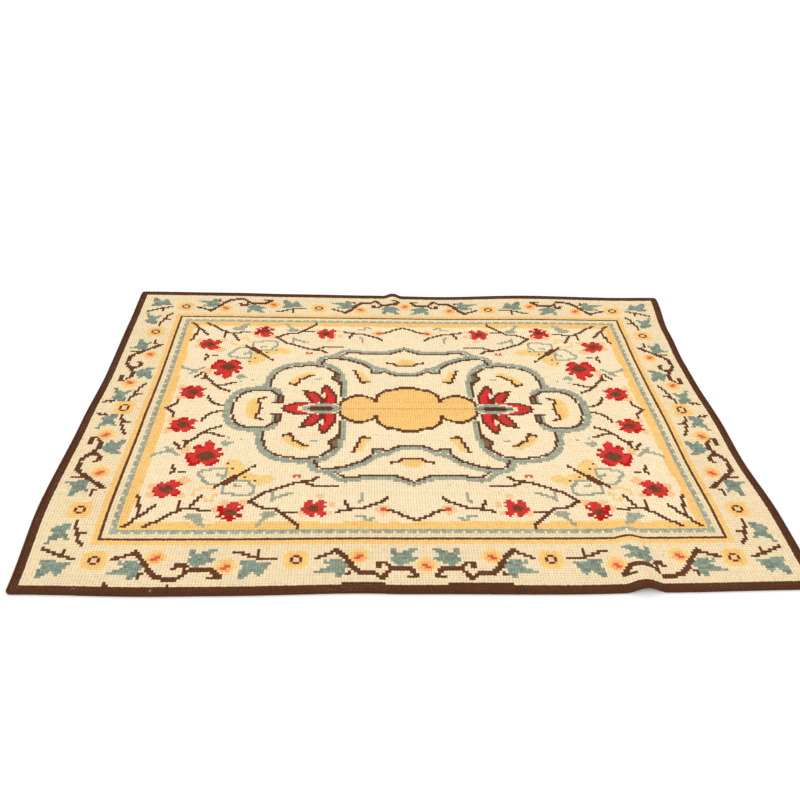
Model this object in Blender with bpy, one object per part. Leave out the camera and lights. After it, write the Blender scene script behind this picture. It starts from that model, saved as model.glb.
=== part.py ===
"""Hooked rug: one flat piece of rug canvas, hooked all over with thick wool.

Metres, +Z up. The rug lies on z = 0 with its long side along X and the front edge at -Y.
The solid is the whole rug at its pile height: a thick, soft slab with round sides, the wavy
outline of a rug that has been walked on, and the two ripples that stand up at its edges.
"""

import math

import bpy

# Driving dimensions. The canvas has 3.3 holes to the inch, and each hole holds one stitch.
STITCH = 0.0077
STITCHES_LONG = 259
STITCHES_WIDE = 199
THICKNESS = 0.0085  # canvas and pile together
SIDE_ROUNDING = 0.0030  # the yarn turns over the edge
SIDE_STEPS = 2
EDGE_BAND = 3 * STITCH  # three dark stitches run along every side
CORNER_ROUNDING = 0.011
CORNER_STEPS = 2  # to each side of the corner's middle

HALF_LONG = STITCH * STITCHES_LONG / 2
HALF_WIDE = STITCH * STITCHES_WIDE / 2

# How far each side bows out (+) or in (-) along its run.
# Columns: place along the side from -1 to 1, millimetres outwards.
FRONT_SIDE = ((-1.0, 0), (-0.65, 9.5), (-0.5, 9), (-0.15, 3), (-0.02, 6.5), (0.37, 10.5),
              (0.6, 6), (1.0, -1))
BACK_SIDE = ((-1.0, 19), (-0.65, 15.5), (-0.42, 8.5), (-0.12, 3.5), (0.14, -3), (0.5, 16.5),
             (0.85, 5.5), (1.0, 9))
LEFT_SIDE = ((-1.0, -4), (-0.58, 13), (-0.1, 3.5), (0.25, -5), (0.7, -1), (1.0, 3))
RIGHT_SIDE = ((-1.0, -2), (-0.65, 1), (-0.32, -13), (-0.1, -9.5), (0.2, -16.5), (0.38, -16),
              (0.65, -5.5), (1.0, 22))
BOW_REACH = 0.45  # the bow dies out this share of the way in from the middle

# Ripples where the edge stands off the floor, each straight in from its side.
# Columns: middle along X, side (-1 front, 1 back), height, half-width at the edge and at the
# inner end, length inwards.
RIPPLES = (
    (0.554, -1, 0.0165, 0.054, 0.030, 0.42),
    (-0.030, 1, 0.0105, 0.036, 0.028, 0.17),
)

# Grid lines of the slab: coarse where it is flat, fine across the ripples.
PLAIN_STEP = 0.050
RIPPLE_STEPS = 8
RIPPLE_RUN_STEP = 0.045

# Finish: a cream ground inside the dark edge band.
CREAM_WOOL = (0.87, 0.74, 0.50, 1.0)
BROWN_WOOL = (0.085, 0.035, 0.018, 1.0)
WOOL_ROUGHNESS = 0.95


def clear_scene():
    """Remove whatever the file holds."""
    for thing in list(bpy.data.objects):
        bpy.data.objects.remove(thing, do_unlink=True)


def wool(name, colour):
    """Matt wool of one colour."""
    material = bpy.data.materials.new(name)
    material.use_nodes = True
    shader = material.node_tree.nodes["Principled BSDF"]
    shader.inputs["Base Color"].default_value = colour
    shader.inputs["Roughness"].default_value = WOOL_ROUGHNESS
    shader.inputs["Metallic"].default_value = 0.0
    return material


def between(table, place):
    """Read a side's table at a place from -1 to 1, with soft turns at its rows."""
    place = max(-1.0, min(1.0, place))
    for (start, low), (end, high) in zip(table, table[1:]):
        if place <= end:
            share = (place - start) / (end - start)
            soft = share * share * (3 - 2 * share)
            return (low + (high - low) * soft) / 1000
    return table[-1][1] / 1000


def reach(share):
    """How much of a side's bow is felt this far out from the middle (0 to 1)."""
    return max(0.0, (share - BOW_REACH) / (1 - BOW_REACH)) ** 2


def rounded(x, y):
    """Turn the square at each corner of the straight rug into a quarter disc."""
    in_x = abs(x) - (HALF_LONG - CORNER_ROUNDING)
    in_y = abs(y) - (HALF_WIDE - CORNER_ROUNDING)
    if min(in_x, in_y) <= 0:
        return x, y
    outer = max(in_x, in_y)
    turn = math.pi / 4 * min(in_x, in_y) / outer
    far, near = outer * math.cos(turn), outer * math.sin(turn)
    new_x, new_y = (far, near) if in_x >= in_y else (near, far)
    at_x = math.copysign(HALF_LONG - CORNER_ROUNDING + new_x, x)
    at_y = math.copysign(HALF_WIDE - CORNER_ROUNDING + new_y, y)
    return at_x, at_y


def bowed(x, y):
    """Move a point of the straight rug to its place on the uneven one."""
    along, across = x / HALF_LONG, y / HALF_WIDE
    long_table = RIGHT_SIDE if x > 0 else LEFT_SIDE
    wide_table = BACK_SIDE if y > 0 else FRONT_SIDE
    out_x = between(long_table, across) * reach(abs(along))
    out_y = between(wide_table, along) * reach(abs(across))
    return x + out_x * math.copysign(1, x), y + out_y * math.copysign(1, y)


def lifted(x, y):
    """Height of the rug's underside over the floor."""
    height = 0.0
    for middle, side, rise, edge_half, inner_half, length in RIPPLES:
        inwards = (HALF_WIDE - side * y) / length
        if inwards >= 1:
            continue
        inwards = max(0.0, inwards)
        half = edge_half + (inner_half - edge_half) * inwards
        sideways = abs(x - middle) / half
        if sideways < 1:
            crest = math.cos(math.pi / 2 * sideways) ** 2
            height += rise * crest * math.cos(math.pi / 2 * inwards) ** 2
    return height


def lines(half, spans):
    """Grid lines from -half to half: the plain step, and each span (start, end, step) finer."""
    count = math.ceil(2 * half / PLAIN_STEP)
    plain = [-half + 2 * half * i / count for i in range(count + 1)]
    fine = []
    for start, end, step in spans:
        parts = math.ceil((end - start) / step)
        fine += [start + (end - start) * i / parts for i in range(parts + 1)]
    inside = [p for p in plain if all(p < s - st / 2 or p > e + st / 2 for s, e, st in spans)]
    inside = [p for p in inside if abs(p) < half - EDGE_BAND]
    fine = [p for p in fine if abs(p) < half - EDGE_BAND]
    band = [half - CORNER_ROUNDING * i / CORNER_STEPS for i in range(CORNER_STEPS + 1)]
    band.append(half - EDGE_BAND)
    return sorted(set(inside + fine + band + [-p for p in band]))


def ripple_spans():
    """The stretches across X and along Y that need finer lines."""
    across_x, along_y = [], []
    for middle, side, _rise, edge_half, _inner_half, length in RIPPLES:
        across_x.append((middle - edge_half, middle + edge_half, 2 * edge_half / RIPPLE_STEPS))
        edge, end = side * HALF_WIDE, side * (HALF_WIDE - length)
        along_y.append((min(edge, end), max(edge, end), RIPPLE_RUN_STEP))
    return across_x, along_y


def underside():
    """The rug's underside as an open mesh, faces up."""
    across_x, along_y = ripple_spans()
    columns = lines(HALF_LONG, across_x)
    rows = lines(HALF_WIDE, along_y)
    points = []
    for y in rows:
        for x in columns:
            at_x, at_y = bowed(*rounded(x, y))
            points.append((at_x, at_y, lifted(x, y)))
    wide = len(columns)
    faces = []
    for j in range(len(rows) - 1):
        for i in range(wide - 1):
            first = j * wide + i
            faces.append((first, first + 1, first + 1 + wide, first + wide))
    mesh = bpy.data.meshes.new("hooked_rug")
    mesh.from_pydata(points, [], faces)
    mesh.materials.append(wool("cream_wool", CREAM_WOOL))
    mesh.materials.append(wool("brown_wool", BROWN_WOOL))
    for index, face in enumerate(mesh.polygons):
        row, column = divmod(index, wide - 1)
        from_side = min(row, len(rows) - 2 - row, column, wide - 2 - column)
        if from_side <= CORNER_STEPS:
            face.material_index = 1
    return mesh


def centre_on_origin(mesh):
    """Put the middle of the outline's box over the origin."""
    for axis in (0, 1):
        places = [v.co[axis] for v in mesh.vertices]
        middle = (min(places) + max(places)) / 2
        for v in mesh.vertices:
            v.co[axis] -= middle


def thicken(rug):
    """Give the sheet its pile height and turn its sides over."""
    solid = rug.modifiers.new("Pile height", "SOLIDIFY")
    solid.thickness = THICKNESS
    solid.offset = 1.0
    solid.use_even_offset = True
    sides = rug.modifiers.new("Round sides", "BEVEL")
    sides.limit_method = "ANGLE"
    sides.angle_limit = math.radians(50)
    sides.width = SIDE_ROUNDING
    sides.segments = SIDE_STEPS


def build_rug():
    """The whole rug as one solid."""
    mesh = underside()
    centre_on_origin(mesh)
    rug = bpy.data.objects.new("hooked_rug", mesh)
    bpy.context.scene.collection.objects.link(rug)
    thicken(rug)
    mesh.shade_smooth()
    mesh.set_sharp_from_angle(angle=math.radians(40))
    return rug


clear_scene()
build_rug()
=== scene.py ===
# %% [markdown]
# # A hooked wool rug, stitch by stitch
# The real rug is one cloth: a stiff cotton canvas with square holes, and a thick wool stitch in
# every hole. The picture, the lines and the dark edge are only other colours of wool.
# So the rug is built in the maker's order: first a chart with one number for each stitch, then
# the canvas, then a small raised stitch of wool in every square of the chart.
# The frame comes first. It is the plain solid that the looks are laid around.

import math

import bpy
import numpy as np
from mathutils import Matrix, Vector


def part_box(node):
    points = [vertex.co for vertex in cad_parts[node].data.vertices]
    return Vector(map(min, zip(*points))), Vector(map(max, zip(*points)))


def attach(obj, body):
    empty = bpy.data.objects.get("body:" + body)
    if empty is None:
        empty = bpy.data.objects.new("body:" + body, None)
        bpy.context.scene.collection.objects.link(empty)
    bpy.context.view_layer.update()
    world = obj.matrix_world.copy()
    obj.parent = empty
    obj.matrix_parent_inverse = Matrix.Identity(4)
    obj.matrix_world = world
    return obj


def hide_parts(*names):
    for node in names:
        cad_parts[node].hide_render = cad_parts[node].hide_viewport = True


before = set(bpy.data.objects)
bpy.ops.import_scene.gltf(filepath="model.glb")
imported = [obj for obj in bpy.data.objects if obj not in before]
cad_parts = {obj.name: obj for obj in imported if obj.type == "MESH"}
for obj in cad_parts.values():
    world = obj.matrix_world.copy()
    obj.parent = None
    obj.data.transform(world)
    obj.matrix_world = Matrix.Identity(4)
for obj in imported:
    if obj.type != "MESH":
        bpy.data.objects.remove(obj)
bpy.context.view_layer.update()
RUG_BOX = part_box("hooked_rug")

# %% [markdown]
# ## Sizes
# Everything hangs on one measure, the stitch. The canvas has 3.3 holes to the inch, and the rug
# has 259 stitches along and 199 across. A rug like this could be sized in round centimetres and
# the pattern stretched to fit, but then no stitch would be square.

# %% Sizes in metres
STITCH = 0.0077
STITCHES_LONG = 259
STITCHES_WIDE = 199
MIDDLE_LONG = STITCHES_LONG // 2  # the stitch in the middle of a row
MIDDLE_WIDE = STITCHES_WIDE // 2
HALF_LONG = STITCH * STITCHES_LONG / 2
HALF_WIDE = STITCH * STITCHES_WIDE / 2
PILE_TOP = 0.0085  # canvas and wool together
CANVAS_TOP = 0.0064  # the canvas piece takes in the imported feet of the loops
EDGE_BAND = 3 * STITCH
CORNER_ROUNDING = 0.011
print("straight rug", round(2 * HALF_LONG, 3), "by", round(2 * HALF_WIDE, 3), "m")

# %% [markdown]
# ## How the rug lies
# No rug that has been walked on is a true rectangle. Its sides bow in and out by a centimetre
# or two, its corners are a little round, and the edge stands up in two soft ripples. These could
# be pushed in by hand on the finished mesh, but there are half a million points. So a few small
# functions say where any point of the straight rug goes, and every piece is laid with them.

# %% The uneven outline and the ripples
# How far each side bows out. Columns: place along the side from -1 to 1, millimetres outwards.
FRONT_SIDE = ((-1.0, 0), (-0.65, 9.5), (-0.5, 9), (-0.15, 3), (-0.02, 6.5), (0.37, 10.5),
              (0.6, 6), (1.0, -1))
BACK_SIDE = ((-1.0, 19), (-0.65, 15.5), (-0.42, 8.5), (-0.12, 3.5), (0.14, -3), (0.5, 16.5),
             (0.85, 5.5), (1.0, 9))
LEFT_SIDE = ((-1.0, -4), (-0.58, 13), (-0.1, 3.5), (0.25, -5), (0.7, -1), (1.0, 3))
RIGHT_SIDE = ((-1.0, -2), (-0.65, 1), (-0.32, -13), (-0.1, -9.5), (0.2, -16.5), (0.38, -16),
              (0.65, -5.5), (1.0, 22))
BOW_REACH = 0.45  # the bow dies out this share of the way in from the middle
# Columns: middle along X, side (-1 front, 1 back), height, half-width at the edge and at the
# inner end, length inwards.
RIPPLES = (
    (0.554, -1, 0.0165, 0.054, 0.030, 0.42),
    (-0.030, 1, 0.0105, 0.036, 0.028, 0.17),
)


def between(table, place):
    """Read a side's table at places from -1 to 1, with soft turns at its rows, in metres."""
    places, offsets = np.array(table, float).T
    row = np.clip(np.searchsorted(places, place, side="left"), 1, len(places) - 1)
    share = np.clip((place - places[row - 1]) / (places[row] - places[row - 1]), 0, 1)
    soft = share * share * (3 - 2 * share)
    return (offsets[row - 1] + (offsets[row] - offsets[row - 1]) * soft) / 1000


def reach(share):
    """How much of a side's bow is felt this far out from the middle (0 to 1)."""
    return np.clip((share - BOW_REACH) / (1 - BOW_REACH), 0, None) ** 2


def rounded(x, y):
    """Turn the square at each corner of the straight rug into a quarter disc."""
    in_x = np.abs(x) - (HALF_LONG - CORNER_ROUNDING)
    in_y = np.abs(y) - (HALF_WIDE - CORNER_ROUNDING)
    inner, outer = np.minimum(in_x, in_y), np.maximum(in_x, in_y)
    corner = inner > 0
    turn = math.pi / 4 * np.where(corner, inner, 0) / np.where(corner, outer, 1)
    far, near = outer * np.cos(turn), outer * np.sin(turn)
    at_x = HALF_LONG - CORNER_ROUNDING + np.where(in_x >= in_y, far, near)
    at_y = HALF_WIDE - CORNER_ROUNDING + np.where(in_x >= in_y, near, far)
    return (np.where(corner, np.copysign(at_x, x), x),
            np.where(corner, np.copysign(at_y, y), y))


def bowed(x, y):
    """Move points of the straight rug to their places on the uneven one."""
    along, across = x / HALF_LONG, y / HALF_WIDE
    long_side = np.where(x > 0, between(RIGHT_SIDE, across), between(LEFT_SIDE, across))
    wide_side = np.where(y > 0, between(BACK_SIDE, along), between(FRONT_SIDE, along))
    return (x + long_side * reach(np.abs(along)) * np.sign(x),
            y + wide_side * reach(np.abs(across)) * np.sign(y))


def lifted(x, y):
    """Height of the rug's underside over the floor."""
    height = np.zeros_like(x)
    for middle, side, rise, edge_half, inner_half, length in RIPPLES:
        inwards = np.clip((HALF_WIDE - side * y) / length, 0, 1)
        half = edge_half + (inner_half - edge_half) * inwards
        sideways = np.clip(np.abs(x - middle) / half, 0, 1)
        crest = np.cos(math.pi / 2 * sideways) ** 2
        height += rise * crest * np.cos(math.pi / 2 * inwards) ** 2
    return height


def outline_middle():
    """The middle of the uneven outline's box, which lies over the origin."""
    run = np.linspace(-1, 1, 4 * STITCHES_LONG + 1)
    ends = np.ones_like(run)
    x = np.concatenate((run, run, ends, -ends)) * HALF_LONG
    y = np.concatenate((ends, -ends, run, run)) * HALF_WIDE
    at_x, at_y = bowed(*rounded(x, y))
    return (at_x.min() + at_x.max()) / 2, (at_y.min() + at_y.max()) / 2


OFF_X, OFF_Y = outline_middle()


def laid(x, y, height):
    """Lay points of the straight rug down: x, y on it, height over its underside."""
    nudge = 0.0005
    slope_x = (lifted(x + nudge, y) - lifted(x - nudge, y)) / (2 * nudge)
    slope_y = (lifted(x, y + nudge) - lifted(x, y - nudge)) / (2 * nudge)
    steep = np.sqrt(1 + slope_x ** 2 + slope_y ** 2)
    at_x, at_y = bowed(*rounded(x, y))
    return np.stack((at_x - OFF_X - height * slope_x / steep,
                     at_y - OFF_Y - height * slope_y / steep,
                     lifted(x, y) + height / steep), axis=-1)


print("outline moved by", round(OFF_X * 1000, 1), round(OFF_Y * 1000, 1), "mm")

# %% [markdown]
# ## The wools
# A maker buys a few dyed wools and works the whole rug with them. Each gets a number in the
# chart, a short name and a colour. The colours are the dyes as they look today, a little faded.

# %% The wools and their colours
# Columns: name, colour as linear red, green and blue, how uneven its dye is.
WOOLS = (
    ("border_cream", (0.83, 0.67, 0.42), 0.06),
    ("field_cream", (0.89, 0.73, 0.48), 0.05),
    ("gold", (0.89, 0.55, 0.18), 0.08),
    ("ribbon_green", (0.355, 0.375, 0.275), 0.24),
    ("leaf_green", (0.225, 0.278, 0.208), 0.34),
    ("pale_green", (0.365, 0.375, 0.265), 0.20),
    ("brown", (0.125, 0.042, 0.015), 0.16),
    ("edge_brown", (0.098, 0.032, 0.0105), 0.16),
    ("bright_red", (0.67, 0.034, 0.028), 0.10),
    ("dark_red", (0.50, 0.004, 0.003), 0.14),
    ("olive", (0.17, 0.055, 0.022), 0.24),
    ("peach", (0.90, 0.55, 0.27), 0.08),
    ("orange", (0.87, 0.40, 0.155), 0.12),
    ("mauve", (0.215, 0.145, 0.085), 0.16),
    ("rust", (0.19, 0.046, 0.013), 0.20),
    ("honey", (0.90, 0.60, 0.22), 0.08),
    ("flame", (0.66, 0.105, 0.035), 0.16),
)
NUMBER = {name: number for number, (name, _colour, _uneven) in enumerate(WOOLS)}
print(len(WOOLS), "wools")

# %% [markdown]
# ## Pens for the chart
# The pattern is the same in all four quarters, so only one quarter is drawn, and mirrored at the
# end. The chart is squared paper: a place is counted in stitches out from the rug's middle,
# first along, then across. Four pens are enough: a filled shape, a band of even thickness, a
# thin stepped line, and a small motif typed out as rows of letters, as in old chart books. A
# route may run on past zero, over the middle line, where the mirrored half goes on.

# %% The pens
quarter = np.full((MIDDLE_WIDE + 1, MIDDLE_LONG + 1), NUMBER["field_cream"])
ACROSS, ALONG = np.mgrid[0:MIDDLE_WIDE + 1, 0:MIDDLE_LONG + 1].astype(float)
LETTERS = {"g": "gold", "h": "honey", "b": "brown", "r": "bright_red", "d": "dark_red", "o": "olive",
           "p": "peach", "n": "orange", "l": "leaf_green", "f": "flame"}


def smooth(points, parts=6):
    """More points along a soft curve through the given ones."""
    spots = [np.array(point, float) for point in points]
    spots = [2 * spots[0] - spots[1], *spots, 2 * spots[-1] - spots[-2]]
    route = []
    for before, start, end, after in zip(spots, spots[1:], spots[2:], spots[3:]):
        for step in range(parts):
            t = step / parts
            turn = (2 * start + (end - before) * t
                    + (2 * before - 5 * start + 4 * end - after) * t ** 2
                    + (3 * start - before - 3 * end + after) * t ** 3) / 2
            route.append(tuple(turn))
    return route + [tuple(spots[-2])]


def shape(points, wool):
    """Fill a closed outline."""
    inside = np.zeros(quarter.shape, bool)
    for (x1, y1), (x2, y2) in zip(points, [*points[1:], points[0]]):
        if y1 == y2:
            continue
        crosses = (ACROSS < y1) != (ACROSS < y2)
        inside ^= crosses & (ALONG < x1 + (ACROSS - y1) * (x2 - x1) / (y2 - y1))
    quarter[inside] = NUMBER[wool]


def blob(x, y, half_x, half_y, wool):
    """Fill an oval."""
    inside = ((ALONG - x) / half_x) ** 2 + ((ACROSS - y) / half_y) ** 2 <= 1
    quarter[inside] = NUMBER[wool]


def band(points, wool, thick):
    """A band of even thickness along a route."""
    near = np.full(quarter.shape, np.inf)
    for (x1, y1), (x2, y2) in zip(points, points[1:]):
        run = max((x2 - x1) ** 2 + (y2 - y1) ** 2, 1e-9)
        share = np.clip(((ALONG - x1) * (x2 - x1) + (ACROSS - y1) * (y2 - y1)) / run, 0, 1)
        gap = np.hypot(ALONG - x1 - share * (x2 - x1), ACROSS - y1 - share * (y2 - y1))
        near = np.minimum(near, gap)
    quarter[near <= thick / 2] = NUMBER[wool]


def line(points, wool):
    """A thin stepped line: each stitch shares a side with the next, so corners are filled."""
    spots = []
    for (x1, y1), (x2, y2) in zip(points, points[1:]):
        steps = max(1, math.ceil(max(abs(x2 - x1), abs(y2 - y1))))
        for step in range(steps + 1):
            x = math.floor(x1 + (x2 - x1) * step / steps + 0.5)
            y = math.floor(y1 + (y2 - y1) * step / steps + 0.5)
            if spots and spots[-1][0] != x and spots[-1][1] != y:
                spots.append((x, spots[-1][1]))
            spots.append((x, y))
    for x, y in spots:
        if 0 <= x <= MIDDLE_LONG and 0 <= y <= MIDDLE_WIDE:
            quarter[y, x] = NUMBER[wool]


def lines(routes, wool):
    """Several thin lines in one wool."""
    for route in routes:
        line(route, wool)


def motif(sheet, left, low, rows):
    """A typed motif with its lower left stitch at left, low. Its first row is the outermost."""
    for up, row in enumerate(rows[::-1]):
        for over, letter in enumerate(row):
            if letter != "." and left + over >= 0 and low + up >= 0:
                sheet[low + up, left + over] = NUMBER[LETTERS[letter]]


print("squared paper", quarter.shape[1], "by", quarter.shape[0], "stitches")

# %% [markdown]
# ## The bands
# Round the field run a gold band, a toothed green line, a thin brown line, a narrow gold band,
# the wide cream border and the dark edge. They could be drawn as frames one inside the other.
# Here each is a step in the distance from the rug's edge, painted from the edge inwards.

# %% Bands from the edge inwards
# Columns: first stitch counted from the edge, wool. Each band runs on to the next one.
BANDS = (
    (0, "edge_brown"), (3, "border_cream"), (21, "gold"), (23, "brown"), (24, "border_cream"),
    (26, "ribbon_green"), (28, "gold"), (32, "field_cream"),
)
TEETH_ROW = 26  # cream teeth bite into this green row
TEETH_STEP = 4
from_edge = np.minimum(MIDDLE_LONG - ALONG, MIDDLE_WIDE - ACROSS)
for first, wool in BANDS:
    quarter[from_edge >= first] = NUMBER[wool]
on_long_side = MIDDLE_WIDE - ACROSS <= MIDDLE_LONG - ALONG
bite = np.where(on_long_side, ALONG % TEETH_STEP == 0, ACROSS % TEETH_STEP == 2)
quarter[(from_edge == TEETH_ROW) & bite] = NUMBER["border_cream"]
print("bands", len(BANDS))

# %% [markdown]
# ## The medallion
# In the middle lies a gold cloud with a red palmette at each end, and round them runs a ribbon
# in loops, green with a brown line on its inner side. Each ribbon is one soft curve through a
# few places, drawn twice: a broad green band, then the brown line beside it.

# %% Ribbons, cloud and palmette
RIBBONS = (
    # green route, its thickness, brown routes
    (((0, 48), (3, 46.6), (6, 45), (12, 44.4), (19, 44.6), (21, 45.6), (27, 45.6), (29.6, 43.4),
      (31.5, 41.2), (35.5, 40.4), (38, 38), (38, 34)), 2.4,
     (((0, 46.7), (3, 45), (6, 43.7), (8, 42.8), (19.5, 42.7), (20, 43.6), (26, 43.5), (28, 42),
       (28.8, 41)),)),
    (((0, 26.6), (5, 26.8), (9, 29.6), (14, 31.6), (18, 35.6), (24, 38.8), (30, 40.4)), 2.6,
     (((0, 25), (4, 25), (6, 26), (8, 27.3), (10, 28.3)),
      ((15, 30), (16.5, 32), (18.5, 34), (21, 35.5), (24, 37), (27, 38.3), (34, 38.7),
       (36.3, 36.7), (36.8, 34)))),
    (((27, 9), (27, 17), (28, 25), (31, 31), (37, 34.2), (46, 34.4), (54, 31.6), (58.5, 25),
      (60, 16)), 2.7,
     (((28.4, 9), (28.4, 17), (29.6, 25), (32.5, 29.2), (38, 32.4), (46, 32.4), (53, 29.8),
       (57, 24.5), (58, 16)),)),
    (((53.6, 5), (54, 11), (57, 14.4), (66, 14.4), (71.4, 11.2), (73.8, 5), (74, -1)), 2.8,
     (((55, 10.5), (57.5, 12.6), (65.5, 12.6), (69.5, 10), (71.6, 4), (71.8, -1)),)),
)
RIBBON_LINE = 1.15  # thickness of the brown line beside the green, in stitches
CLOUD_LINE = 1.7
for green_route, thick, _brown_routes in RIBBONS:
    band(smooth(green_route), "ribbon_green", thick)
for _green_route, _thick, brown_routes in RIBBONS:
    for brown_route in brown_routes:
        band(smooth(brown_route), "brown", RIBBON_LINE)

# The ribbon's curled ends are small brown arches with a little mauve or green inside.
CURLS = (
    # outline, wool inside
    (((28, 19.5), (30, 21), (32, 22.6), (31.6, 24.4), (30.6, 26), (29, 25.5)), "mauve"),
    (((9.6, 28.4), (11, 27), (13.4, 26.6), (14.8, 27.4), (15, 30)), "ribbon_green"),
    (((56, 4), (52.8, 4), (52, 6), (52, 9), (54, 10.4), (54.2, 5)), "mauve"),
)
for outline, wool in CURLS:
    shape(outline, wool)
    line(outline, "brown")

CLOUD = ((-6, 14.6), (0.7, 15.7), (5, 14.4), (9.4, 13), (11.6, 11), (13, 8), (13.3, 5.6),
         (15, 7.4), (18, 9), (20.5, 9.6), (24, 8.2), (26.4, 6.4), (28, 4.2), (28.4, 2), (28.4, -2))
shape([*smooth(CLOUD), (-6, -2)], "gold")
band(smooth(CLOUD), "brown", CLOUD_LINE)

# The palmette lies in layers: red end, cream, green and brown, each smaller than the last.
PALMETTE = (
    # outline, wool
    (((38, 4.3), (42, 4.3), (46, 3.7), (50, 1.5), (52, -1), (38, -1)), "bright_red"),
    (((29, -1), (29, 2.8), (34, 3.8), (41, 3.4), (46, 0.8), (46, -1)), "field_cream"),
    (((28, -1), (28, 1.4), (32, 3.2), (38, 3.2), (43.5, 0.8), (43.5, -1)), "ribbon_green"),
    (((30, -1), (30.4, 0.6), (33, 2), (38, 2), (41.4, 0.6), (41.6, -1)), "brown"),
)
for outline, wool in PALMETTE:
    shape(outline, wool)
line(((42, 4.3), (46, 3.7), (50, 1.5), (52, -1)), "brown")
SIDE_PETALS = (
    ((30, 4), (30, 9.4), (31.6, 13.4), (34, 17), (35.8, 14), (35.6, 11), (34.8, 8), (35, 4)),
    ((36, 4.4), (36.6, 8.8), (38.6, 11.6), (43.6, 13.4), (42.4, 9), (40, 4.6)),
)
for petal in SIDE_PETALS:
    shape(petal, "bright_red")
    line(petal, "brown")
shape(((33.6, 5), (33.8, 9), (34.4, 11), (34.8, 5)), "dark_red")
line(((35, 8), (35, 11)), "field_cream")
print("medallion", int((quarter == NUMBER["brown"]).sum()), "brown stitches in the quarter")

# %% [markdown]
# ## Gold commas
# Each loop of the ribbon holds a gold comma with a stepped brown edge on one side. The gold
# pales to honey away from the dark side. They are two filled shapes and a thin line.

# %% Commas in the ribbon's loops
COMMAS = (
    # honey outline, gold outline, brown edge
    (((15, 20.4), (17.6, 25), (19, 28.4), (21.6, 29.4), (20, 22), (17.6, 18.8)),
     ((15.6, 20), (18.4, 18.6), (20.4, 24), (20.6, 26.6), (19, 25.4), (18, 21.6)),
     ((15.7, 20), (17.4, 19.6), (18.4, 18.6), (19.8, 21), (21, 25), (22.6, 29.4))),
    (((38.8, 25.4), (40.6, 27.4), (43.6, 27), (47.6, 24), (50.4, 20.4), (50.6, 17.6), (47.2, 20),
      (43, 22.4)),
     ((41, 25), (45.6, 21.5), (48.6, 18), (49, 20.5), (46, 23.6), (43, 25.6)),
     ((39.6, 25.4), (41.8, 25.2), (43, 22.8), (45.6, 21), (46.2, 18.6), (47.4, 17.4),
      (49.2, 17.6), (50, 19))),
    (((60.4, 7.4), (61.6, 8.6), (64.6, 7), (66.6, 3), (66, -1), (61.4, -1), (61, 2.6), (62.4, 5)),
     ((62.4, 5.4), (64.6, 4.4), (65, -1), (61.4, -1), (61, 2.6)),
     ((59.4, 8), (60.6, 6.6), (62.4, 5), (60.8, 3), (61.4, 0.6), (60, -1))),
)
for honey, gold, edge in COMMAS:
    shape(honey, "honey")
    shape(gold, "gold")
    line(edge, "brown")
blob(0, 35.4, 4.6, 2.9, "honey")
blob(0, 35.2, 3.2, 2.2, "gold")
line(((0, 32.6), (2.6, 33), (4.4, 34.4), (7.6, 35.6)), "brown")
line(((37, 21.6), (38, 22.4), (39, 21.6)), "ribbon_green")
print("commas", len(COMMAS))

# %% [markdown]
# ## Flowers of the field
# The red flowers have bright and dark petals round an olive middle, with a few petals of another
# flower in peach behind them. Five flowers and a bud are typed out stitch by stitch, because at
# this size the maker thought in single stitches, and then set in place.

# %% Red flowers and buds
LARGE_FLOWER = """
    ...ddd...ddd..
    ..ddrrr.dddd..
    .ddrrrrrdrrdd.
    .drrrooorrrrd.
    ..rrooooorrrdd
    .drooooooorrrd
    drrooooooorrrd
    drrrooooorrddr
    ..rrroorrrr...
    .drrrrrrrrr...
    .dd.rrrrrrrd..
    ....rrrrddrd..
    ....rrrr.dd...
    ....drrr......
    .....rrr......
    ......r.......
""".split()
MIDDLE_FLOWER = """
    ...rr.dd...
    ..rrrrddd..
    ddrrrrrdddd
    .ddrooorrd.
    ..rooooorr.
    .rrooooorrr
    .rrrooorrr.
    rrrrrrrddd.
    .rr.dddd...
    ....ddd....
""".split()
CORNER_FLOWER = """
    .....dd...
    .dd.rrrrd.
    drrrrrrrr.
    drrrooorrd
    .drooooorr
    ..rooooorr
    .rrroorrd.
    drrrrrrrr.
    .rrrrr.r..
    ...rr.....
""".split()
HALVED_FLOWER = """
    ...dd....
    ..ddddd..
    dd.ddd.dd
    ddoooodd.
    ..oooodd.
    .drooordd
    ddrrrrddd
    d.rrrr.dd
    .rrrrr...
    ..rrr....
""".split()
FIVE_LOBES = """
    .d..rd...
    drr.rrr..
    rrrrrrrr.
    .rrooorrr
    .rroooorr
    rrrooorr.
    .rrrrrrr.
    rrrr.rrr.
    .rr..rr..
""".split()
BUD = """
    ..pp..
    .pppp.
    ppffpp
    ppffpp
    .pppp.
""".split()
# Columns: peach petals behind as (x, y, half along, half across), motif, left and lower stitch.
FLOWERS = (
    (((86.4, 27.5, 1.8, 3),), LARGE_FLOWER, 72, 22),
    (((94, 8, 2.4, 2), (95.4, 15, 1.6, 3)), MIDDLE_FLOWER, 85, 7),
    (((83.6, 46, 2.6, 2.2), (83.4, 54.4, 2, 1.6), (94, 49.4, 2, 1.8), (93.6, 53.4, 2, 1.8)),
     CORNER_FLOWER, 84, 46),
    (((60.8, 58, 1.8, 1.6), (67.6, 58, 2, 1.4), (70, 61.4, 1.2, 2)), HALVED_FLOWER, 61, 58),
    (((34, 54.7, 2, 1.4), (29.5, 59, 1.4, 2), (30.5, 63.5, 1.6, 1.4), (40, 63.5, 1.4, 1.6)),
     FIVE_LOBES, 32, 57),
    ((), BUD, 9, 60),
    ((), ("f.f", "fff"), 42, 43),
)
for behind, rows, left, low in FLOWERS:
    for petal in behind:
        blob(*petal, "peach")
    motif(quarter, left, low, rows)
print("flowers", len(FLOWERS))

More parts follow.
